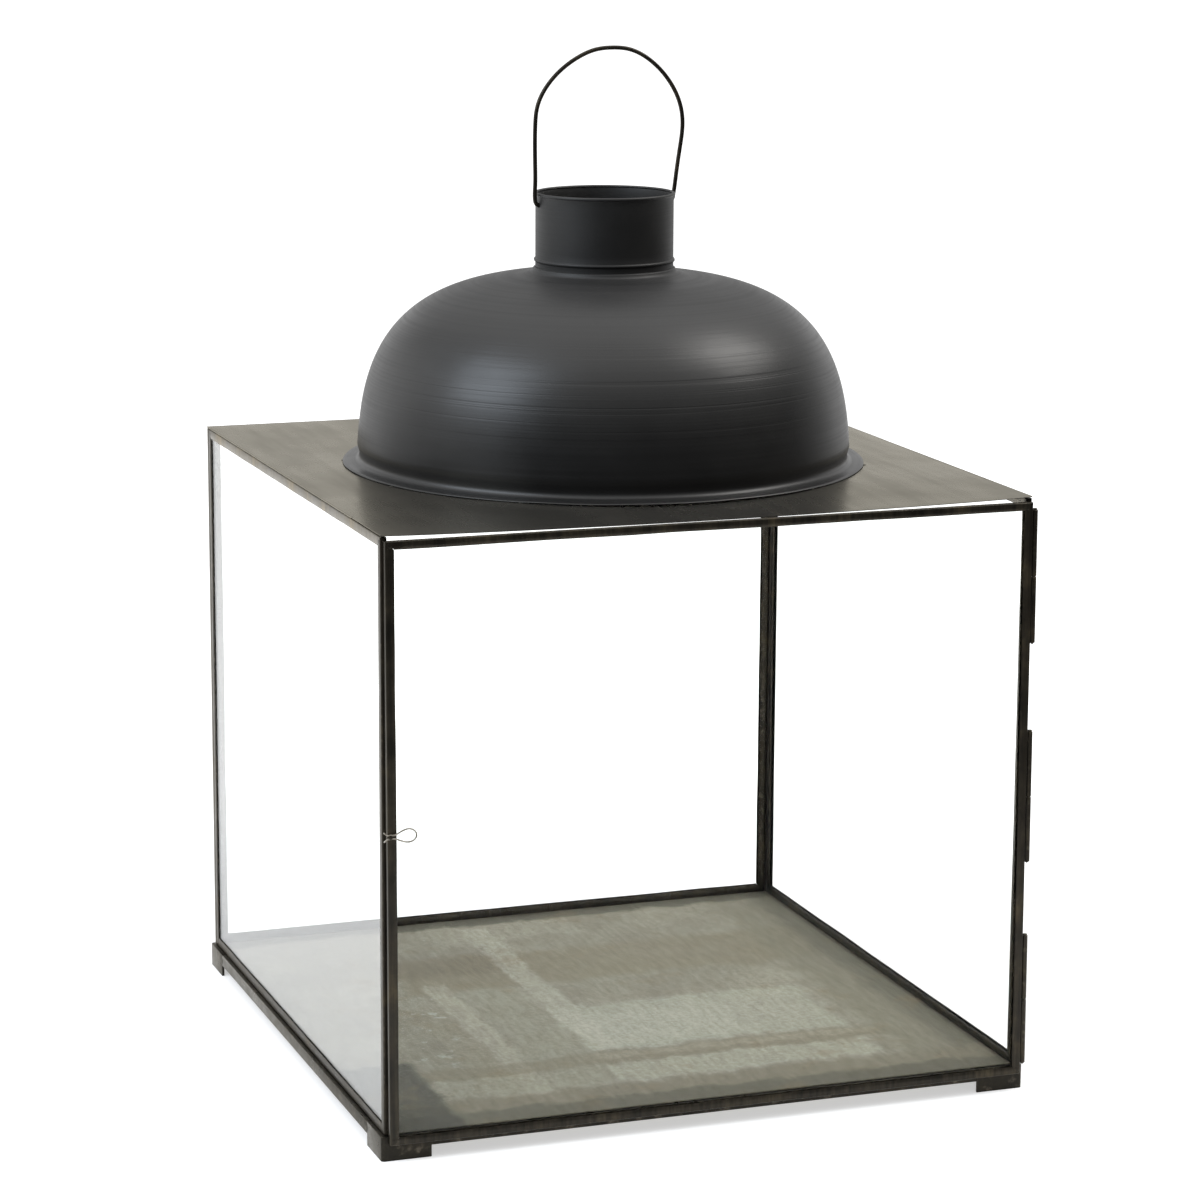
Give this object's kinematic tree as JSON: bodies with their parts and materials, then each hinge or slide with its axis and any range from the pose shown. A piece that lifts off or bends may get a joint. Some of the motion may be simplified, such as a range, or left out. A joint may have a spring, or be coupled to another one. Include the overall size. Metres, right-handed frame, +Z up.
{
  "type": "candle lantern",
  "caption": "Square glass lantern with a folded iron frame, hinged leaning glass door with a wire latch, flat roof, spun dome, chimney neck and wire bail.",
  "frame": {"origin": "centre of the footprint on the surface that the feet stand on", "axes": "+Z up; -Y out through the door; +X towards the door's hinges"},
  "size_m": [0.4051, 0.4097, 0.6197],
  "materials": {
    "black_iron": "satin blackened iron",
    "roof_iron": "satin bronze-black sheet",
    "dome_iron": "satin black, finely ringed by spinning",
    "base_iron": "satin grey-brown iron",
    "zinc_sheet": "dull zinc-coated sheet with stains",
    "clear_glass": "clear flat glass",
    "bright_wire": "bright drawn wire"
  },
  "bodies": {
    "lantern_body": {"foot_front_left": "base_iron", "foot_front_right": "base_iron", "foot_back_left": "base_iron", "foot_back_right": "base_iron", "base_rail_front": "base_iron", "base_rail_right": "base_iron", "base_rail_back": "base_iron", "base_rail_left": "base_iron", "floor_plate": "zinc_sheet", "left_panel_bottom_rail": "black_iron", "left_panel_top_rail": "black_iron", "left_panel_front_stile": "black_iron", "left_panel_back_stile": "black_iron", "left_panel_glass": "clear_glass", "right_panel_bottom_rail": "black_iron", "right_panel_top_rail": "black_iron", "right_panel_front_stile": "black_iron", "right_panel_back_stile": "black_iron", "right_panel_glass": "clear_glass", "back_panel_bottom_rail": "black_iron", "back_panel_top_rail": "black_iron", "back_panel_left_stile": "black_iron", "back_panel_right_stile": "black_iron", "back_panel_glass": "clear_glass", "corner_post_back_left": "black_iron", "corner_post_back_right": "black_iron", "roof_plate": "roof_iron", "dome": "dome_iron", "chimney_neck": "dome_iron", "hinge_high_frame_knuckle": "black_iron", "hinge_high_pin": "bright_wire", "hinge_middle_frame_knuckle": "black_iron", "hinge_middle_pin": "bright_wire", "hinge_low_frame_knuckle": "black_iron", "hinge_low_pin": "bright_wire"},
    "door": {"door_bottom_rail": "black_iron", "door_top_rail": "black_iron", "door_latch_stile": "black_iron", "door_hinge_stile": "black_iron", "door_glass": "clear_glass", "hinge_high_door_knuckle": "black_iron", "hinge_middle_door_knuckle": "black_iron", "hinge_low_door_knuckle": "black_iron", "latch_rivet": "black_iron"},
    "latch": {"latch_wire": "bright_wire"},
    "bail": {"bail_handle": "black_iron"}
  },
  "joints": [
    {"name": "door_hinge", "type": "hinge", "parent": "lantern_body", "child": "door", "pos_m": [0.2009, -0.205, 0.0105], "axis": [0, 0.01, 1], "range_deg": [0, 180]},
    {"name": "latch_turn", "type": "hinge", "parent": "door", "child": "latch", "pos_m": [-0.1972, -0.20593, 0.19302], "axis": [0, 1, -0.01], "range_deg": [-90, 90]},
    {"name": "bail_pivot", "type": "hinge", "parent": "lantern_body", "child": "bail", "pos_m": [0.0026, 0, 0.5238], "axis": [1, 0, 0], "range_deg": [-114, 114]}
  ]
}
